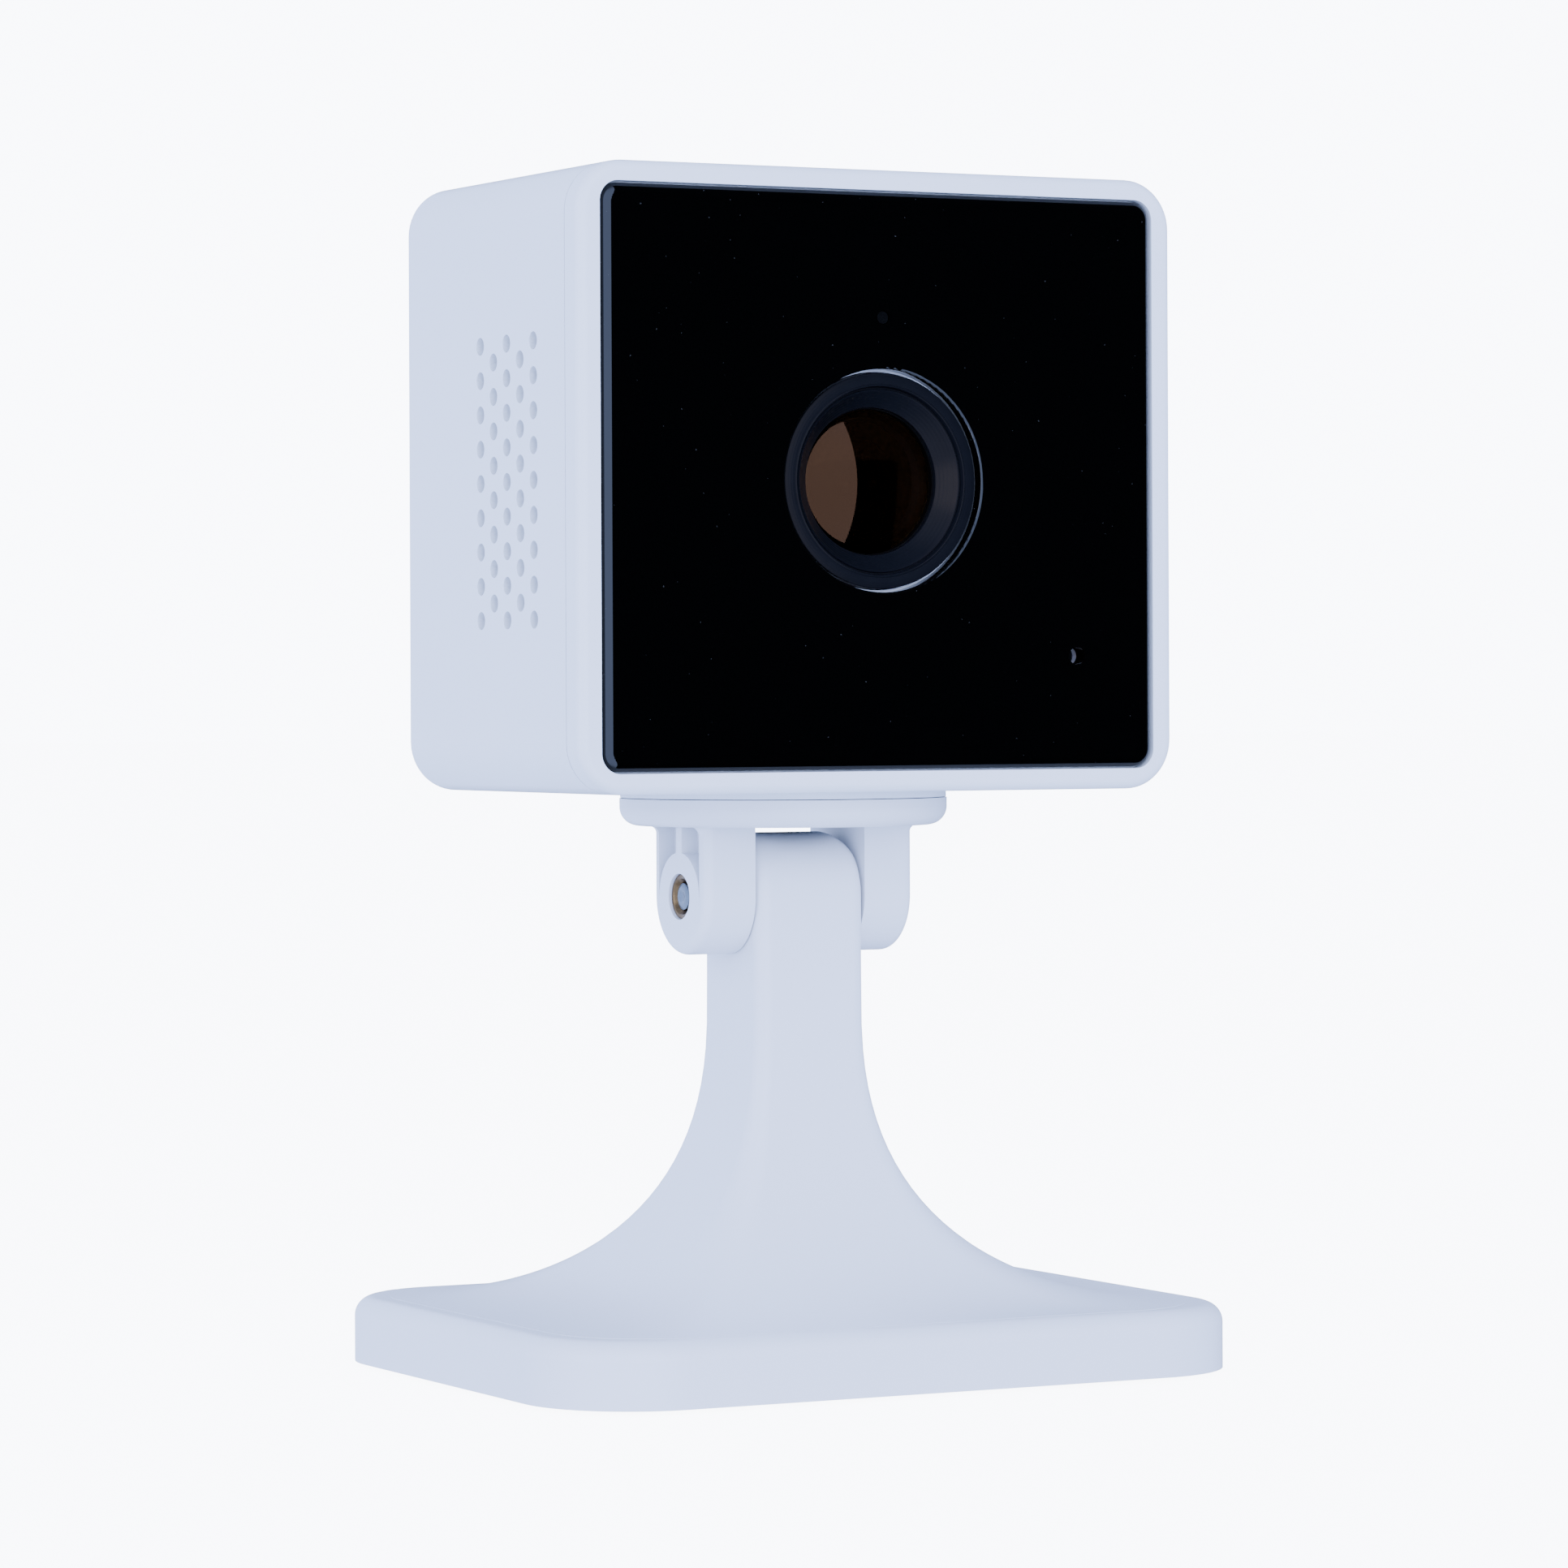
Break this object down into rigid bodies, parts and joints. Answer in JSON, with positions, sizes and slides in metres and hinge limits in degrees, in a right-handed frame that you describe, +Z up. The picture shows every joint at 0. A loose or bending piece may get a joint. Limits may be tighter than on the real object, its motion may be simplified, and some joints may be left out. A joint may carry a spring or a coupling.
{
  "type": "security camera",
  "caption": "Small square indoor security camera with a glossy front panel and a speaker grille, on a pan and tilt swivel above a flared rectangular stand.",
  "frame": {"origin": "on the surface the rubber feet stand on, under the pan axis and the middle of the foot", "axes": "+Z up along the pan axis, -Y the way the lens looks, +X to the right of someone who faces the lens"},
  "size_m": [0.069, 0.0556, 0.1083],
  "materials": {
    "white_moulding": "satin white injection moulding, very slightly blue",
    "gloss_black": "high gloss, passes infrared",
    "dark_ring": "semi-matt blue-black moulding",
    "black_metal": "black anodised",
    "lens_glass": "coated optical glass",
    "filter_glass": "coated flat glass",
    "black_plastic": "satin black",
    "circuit_board": "solder-resist green",
    "chip_black": "moulded epoxy",
    "tinned_steel": "tin-plated sheet",
    "lamp_clear": "clear epoxy",
    "copper_coil": "enamelled winding",
    "spreader_metal": "extruded aluminium",
    "soft_rubber": "matt rubber",
    "speaker_cloth": "fine acoustic cloth",
    "speaker_paper": "pressed film",
    "magnet_iron": "nickel-plated magnet",
    "antenna_film": "printed film",
    "zinc_steel": "zinc-plated steel",
    "brass": "turned brass",
    "nylon": "natural nylon"
  },
  "bodies": {
    "stand": {"stand_shell": "white_moulding", "friction_washers": "nylon", "base_cover": "white_moulding", "rubber_feet": "soft_rubber", "cover_screws": "zinc_steel", "ballast_plate": "zinc_steel"},
    "swivel": {"swivel_clevis": "white_moulding", "tilt_screw": "zinc_steel", "tilt_spring_washer": "zinc_steel", "tilt_insert": "brass"},
    "filter_shuttle": {"filter_shuttle": "black_plastic", "infrared_cut_glass": "filter_glass", "clear_glass": "filter_glass"},
    "reset_button": {"reset_button": "white_moulding"},
    "head": {"rear_housing": "white_moulding", "front_bezel": "white_moulding", "front_panel": "gloss_black", "lens_trim_ring": "dark_ring", "aperture_plate": "dark_ring", "lens_holder": "dark_ring", "lens_barrel": "black_metal", "lens_lock_ring": "black_metal", "front_lens": "lens_glass", "middle_lens": "lens_glass", "rear_lens": "lens_glass", "reset_switch": "black_plastic", "speaker_frame": "black_plastic", "card_socket": "black_plastic", "main_board": "circuit_board", "lamp_board": "circuit_board", "processor": "chip_black", "memory_chip": "chip_black", "image_sensor": "chip_black", "light_sensor": "chip_black", "power_socket": "tinned_steel", "radio_module": "tinned_steel", "microphone": "tinned_steel", "infrared_lamps": "lamp_clear", "status_lamp": "lamp_clear", "status_light_pipe": "lamp_clear", "filter_coil": "copper_coil", "heat_spreader": "spreader_metal", "microphone_gasket": "soft_rubber", "speaker_cloth": "speaker_cloth", "speaker_cone": "speaker_paper", "speaker_magnet": "magnet_iron", "antenna_strip": "antenna_film", "bezel_screws": "zinc_steel", "board_screws": "zinc_steel", "lamp_board_screws": "zinc_steel", "pan_screw": "zinc_steel", "pan_washer": "zinc_steel"}
  },
  "joints": [
    {"name": "tilt", "type": "hinge", "parent": "stand", "child": "swivel", "pos_m": [0, 0, 0.04334], "axis": [1, 0, 0], "range_deg": [-75, 75]},
    {"name": "pan", "type": "hinge", "parent": "swivel", "child": "head", "pos_m": [0, 0, 0.05], "axis": [0, 0, 1], "continuous": true},
    {"name": "filter_slide", "type": "slide", "parent": "head", "child": "filter_shuttle", "axis": [-1, 0, 0], "range_m": [0, 0.0075]},
    {"name": "reset_press", "type": "slide", "parent": "head", "child": "reset_button", "axis": [0, -1, 0], "range_m": [0, 0.0004], "stiffness_N_per_m": 2000}
  ]
}
